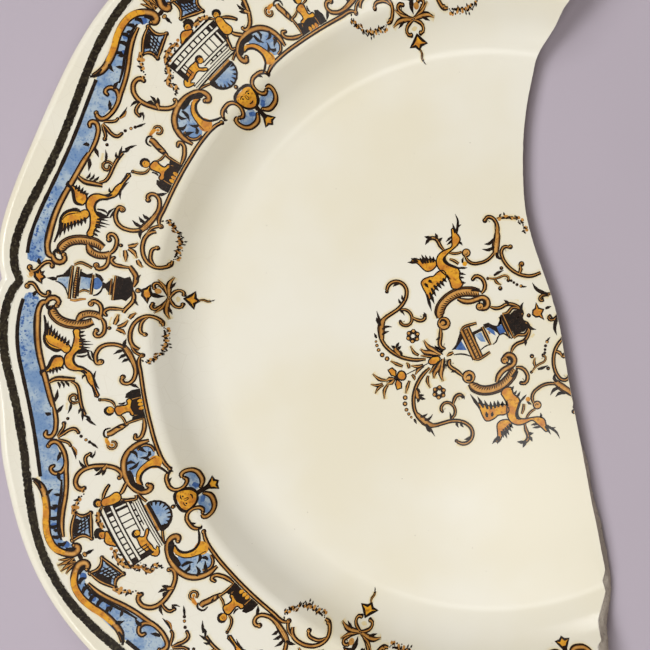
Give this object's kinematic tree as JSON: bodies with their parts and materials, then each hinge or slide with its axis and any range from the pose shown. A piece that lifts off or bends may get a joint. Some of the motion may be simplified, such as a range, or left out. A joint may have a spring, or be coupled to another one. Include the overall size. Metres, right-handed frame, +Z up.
{
  "type": "broken plate fragment",
  "caption": "Larger part of a broken lobed earthenware plate, glazed cream, with printed scroll ornament and a dark rim band.",
  "frame": {"origin": "on the table that the fragment lies on, under the middle of its box", "axes": "+Z up through the glazed face, +Y along the break towards the end that runs in under the glaze, -X towards the whole rim"},
  "size_m": [0.1581, 0.2471, 0.0203],
  "materials": {
    "glazed_earthenware": "glossy cream glaze, bare beige body on the break",
    "black_ink": "brown-black print under the glaze",
    "blue_ink": "mottled cobalt blue print under the glaze",
    "ochre_ink": "ochre print under the glaze"
  },
  "bodies": {
    "root": {"plate_fragment": "glazed_earthenware", "black_print": "black_ink", "blue_print": "blue_ink", "ochre_print": "ochre_ink"}
  },
  "joints": []
}
